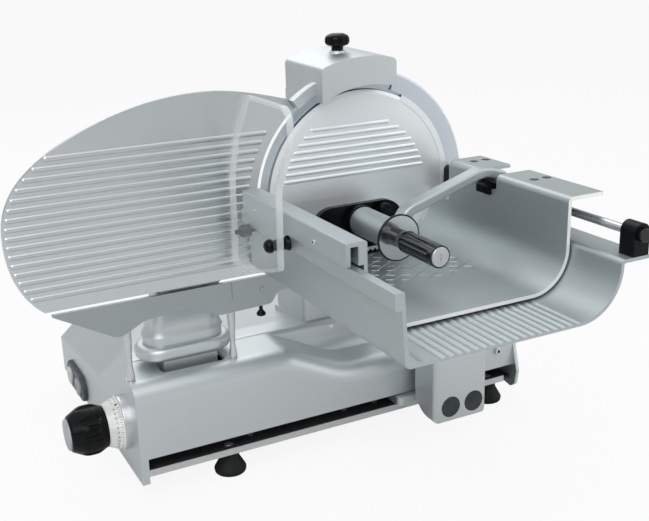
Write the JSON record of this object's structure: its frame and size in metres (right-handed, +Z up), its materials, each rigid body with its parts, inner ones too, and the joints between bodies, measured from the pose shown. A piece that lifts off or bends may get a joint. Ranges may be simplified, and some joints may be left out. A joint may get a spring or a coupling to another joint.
{
  "type": "manual-feed meat slicer",
  "caption": "Vertical-blade food slicer: round blade with ribbed cover and guard ring, wing gauge plate, hand-pushed carriage with sliding tray, clamp and clear hand guard on a cast base.",
  "frame": {"origin": "on the table, under the middle of the whole machine's bounding box, with the carriage at the right-hand end of its travel", "axes": "+Z up, +Y away from the operator, towards the rear of the base, +X along the carriage's travel, towards the right end of the base"},
  "size_m": [0.8591, 0.934, 0.674],
  "materials": {
    "cast_aluminium": "polished casting, satin",
    "anodised_sheet": "anodised, satin",
    "dark_guard": "dark anodised",
    "stainless": "brushed",
    "blade_steel": "ground and polished",
    "motor_grey": "paint",
    "black_plastic": "moulded, slight gloss",
    "grey_cap": "moulded",
    "silver_cap": "plated",
    "dial_white": "moulded",
    "start_grey": "moulded",
    "stop_black": "moulded",
    "rubber_black": "moulded rubber",
    "clear_guard": "clear acrylic sheet",
    "stone": "bonded abrasive"
  },
  "bodies": {
    "base": {"base_housing": "cast_aluminium", "base_plate": "stainless", "plate_screws": "stainless", "rubber_feet": "rubber_black", "foot_studs": "stainless", "guide_rail": "stainless", "gauge_guides": "stainless", "switch_bezel": "black_plastic", "dial_collar": "stainless", "lower_guard": "dark_guard", "guard_posts": "stainless", "guard_cover": "dark_guard", "guard_knob": "black_plastic", "pedestal": "cast_aluminium", "rear_cover": "cast_aluminium", "cover_screws": "stainless", "spindle_bearings": "stainless", "drive_belt": "rubber_black", "motor": "motor_grey", "ring_guard": "cast_aluminium", "blade_cover": "cast_aluminium", "sharpener_housing": "cast_aluminium", "sharpener_bracket": "cast_aluminium"},
    "thickness_control": {"dial_scale": "dial_white", "thickness_knob": "black_plastic", "knob_cap": "grey_cap", "thickness_shaft": "stainless"},
    "gauge": {"gauge_plate": "cast_aluminium", "gauge_support": "cast_aluminium"},
    "blade_group": {"blade_spindle": "stainless", "blade": "blade_steel", "blade_bolts": "stainless", "blade_pulley": "stainless"},
    "motor_rotor": {"motor_pulley": "stainless"},
    "start_button": {"start_button": "start_grey"},
    "stop_button": {"stop_button": "stop_black"},
    "sharpener_knob": {"sharpener_knob": "black_plastic"},
    "front_stone": {"front_stone": "stone"},
    "rear_stone": {"rear_stone": "stone"},
    "carriage": {"lower_tray": "anodised_sheet", "carriage_stem": "anodised_sheet", "stem_plugs": "black_plastic", "carriage_slider": "cast_aluminium", "product_rod": "stainless", "rod_blocks": "black_plastic", "plexi_guard": "clear_guard", "guard_spacers": "black_plastic"},
    "product_tray": {"product_tray": "anodised_sheet", "top_rail": "anodised_sheet", "rail_pads": "black_plastic", "bushing_blocks": "black_plastic", "flange_screws": "black_plastic", "tooth_strip": "black_plastic"},
    "clamp": {"clamp_arm": "stainless", "clamp_bushings": "black_plastic", "gripper_plate": "stainless", "gripper_rim": "black_plastic", "hand_guard_disc": "black_plastic", "grip": "black_plastic", "grip_cap": "silver_cap"}
  },
  "joints": [
    {"name": "gauge_slide", "type": "slide", "parent": "base", "child": "gauge", "axis": [0, 1, 0], "range_m": [0, 0.02]},
    {"name": "thickness_knob_turn", "type": "hinge", "parent": "base", "child": "thickness_control", "pos_m": [-0.3155, 0.031, 0.1065], "axis": [1, 0, 0], "range_deg": [0, 340]},
    {"name": "blade_spin", "type": "hinge", "parent": "base", "child": "blade_group", "pos_m": [0.1245, 0.045, 0.43], "axis": [0, 1, 0], "continuous": true},
    {"name": "motor_spin", "type": "hinge", "parent": "base", "child": "motor_rotor", "pos_m": [0.1245, 0.105, 0.096], "axis": [0, 1, 0], "continuous": true},
    {"name": "carriage_slide", "type": "slide", "parent": "base", "child": "carriage", "axis": [1, 0, 0], "range_m": [-0.35, 0]},
    {"name": "product_tray_slide", "type": "slide", "parent": "carriage", "child": "product_tray", "axis": [0, 1, 0], "range_m": [-0.14, 0.005]},
    {"name": "clamp_lift", "type": "hinge", "parent": "product_tray", "child": "clamp", "pos_m": [0.2855, -0.185, 0.442], "axis": [0, 1, 0], "range_deg": [0, 75]},
    {"name": "start_press", "type": "slide", "parent": "base", "child": "start_button", "axis": [1, 0, 0], "range_m": [0, 0.003], "stiffness_N_per_m": 400, "springref_m": -0.002},
    {"name": "stop_press", "type": "slide", "parent": "base", "child": "stop_button", "axis": [1, 0, 0], "range_m": [0, 0.003], "stiffness_N_per_m": 400, "springref_m": -0.002},
    {"name": "sharpener_knob_turn", "type": "hinge", "parent": "base", "child": "sharpener_knob", "pos_m": [0.1015, 0.01, 0.655], "axis": [0, 0, 1], "range_deg": [0, 340]},
    {"name": "front_stone_spin", "type": "hinge", "parent": "base", "child": "front_stone", "pos_m": [0.13106, -0.034, 0.61789], "axis": [0, 1, 0], "continuous": true},
    {"name": "rear_stone_spin", "type": "hinge", "parent": "base", "child": "rear_stone", "pos_m": [0.07902, 0.009, 0.61242], "axis": [0, 1, 0], "continuous": true}
  ],
  "couplings": [
    {"joint": "thickness_knob_turn", "follows": "gauge_slide", "rad_per_m": 296.68},
    {"joint": "motor_spin", "follows": "blade_spin", "ratio": 2.4508}
  ]
}
